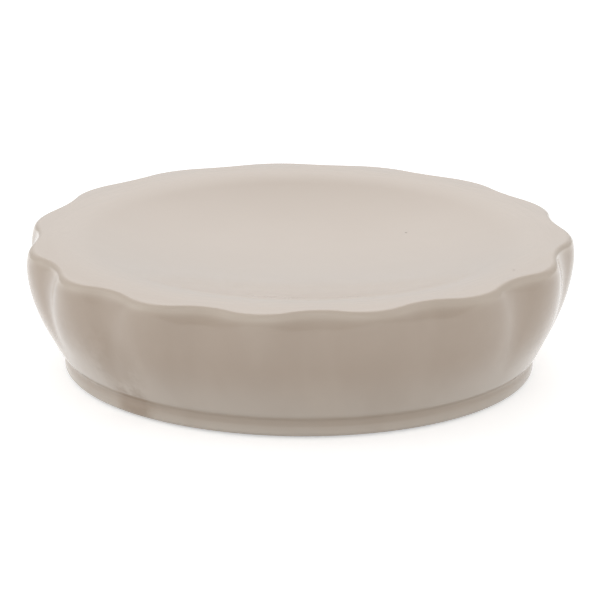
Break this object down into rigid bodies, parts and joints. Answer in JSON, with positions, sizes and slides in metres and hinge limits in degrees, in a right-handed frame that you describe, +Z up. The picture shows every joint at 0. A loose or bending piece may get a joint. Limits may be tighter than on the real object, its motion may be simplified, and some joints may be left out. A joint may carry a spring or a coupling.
{
  "type": "soap dish",
  "caption": "Round ceramic soap dish with a gently lobed wall, a rolled lip and a shallow basin for a bar of soap, on a foot ring with soft pads inside it.",
  "frame": {"origin": "on the dish's axis, at the height of the surface that its pads stand on", "axes": "+Z up; -Y is the side that the picture shows; one lobe of the wall points along +X"},
  "size_m": [0.1143, 0.1148, 0.029],
  "materials": {
    "glazed_body": "gloss taupe-beige glaze",
    "soft_pad": "matte, slightly translucent"
  },
  "bodies": {
    "root": {"dish_body": "glazed_body", "pad_front_left": "soft_pad", "pad_front_right": "soft_pad", "pad_rear_left": "soft_pad", "pad_rear_right": "soft_pad"}
  },
  "joints": []
}
